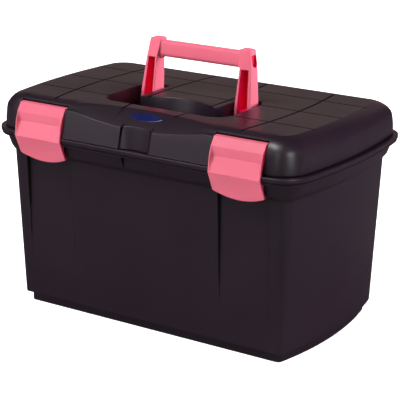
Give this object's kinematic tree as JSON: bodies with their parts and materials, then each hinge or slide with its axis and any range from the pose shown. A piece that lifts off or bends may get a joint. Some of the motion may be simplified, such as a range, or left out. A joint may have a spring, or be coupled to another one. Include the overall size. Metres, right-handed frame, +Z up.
{
  "type": "horse grooming box",
  "caption": "Tapered lidded carry box with a tile-grooved hinged lid, wide front snap latches, a carrying handle that folds into the lid and a lift-out divided tray.",
  "frame": {"origin": "middle of the foot's flat underside", "axes": "+X along the box's length to the user's right, -Y towards the latches at the front, +Z up"},
  "size_m": [0.4, 0.26, 0.2985],
  "materials": {
    "body_black": "fine satin grain, nearly black with a plum cast",
    "trim_pink": "smooth semi-gloss pink",
    "pin_steel": "drawn steel wire",
    "badge_navy": "plain glossy navy inlay"
  },
  "bodies": {
    "bin_body": {"bin": "body_black", "hinge_pin_left": "pin_steel", "hinge_pin_right": "pin_steel"},
    "lid_body": {"lid": "body_black", "badge_plate": "badge_navy"},
    "handle_body": {"handle_leg_left": "trim_pink", "handle_leg_right": "trim_pink", "handle_grip": "trim_pink"},
    "latch_left_body": {"latch_left": "trim_pink"},
    "latch_right_body": {"latch_right": "trim_pink"},
    "tray_body": {"tray": "body_black", "tray_divider": "body_black", "tray_handle": "trim_pink"}
  },
  "joints": [
    {"name": "lid_hinge", "type": "hinge", "parent": "bin_body", "child": "lid_body", "pos_m": [0, 0.129, 0.205], "axis": [-1, 0, 0], "range_deg": [0, 100]},
    {"name": "handle_fold", "type": "hinge", "parent": "lid_body", "child": "handle_body", "pos_m": [0, 0.0025, 0.228], "axis": [1, 0, 0], "range_deg": [0, 90]},
    {"name": "latch_left_pivot", "type": "hinge", "parent": "lid_body", "child": "latch_left_body", "pos_m": [-0.1235, -0.1105, 0.2305], "axis": [-1, 0, 0], "range_deg": [0, 100]},
    {"name": "latch_right_pivot", "type": "hinge", "parent": "lid_body", "child": "latch_right_body", "pos_m": [0.1235, -0.1105, 0.2305], "axis": [-1, 0, 0], "range_deg": [0, 100]},
    {"name": "tray_lift", "type": "slide", "parent": "bin_body", "child": "tray_body", "axis": [0, 0, 1], "range_m": [0, 0.012]}
  ]
}
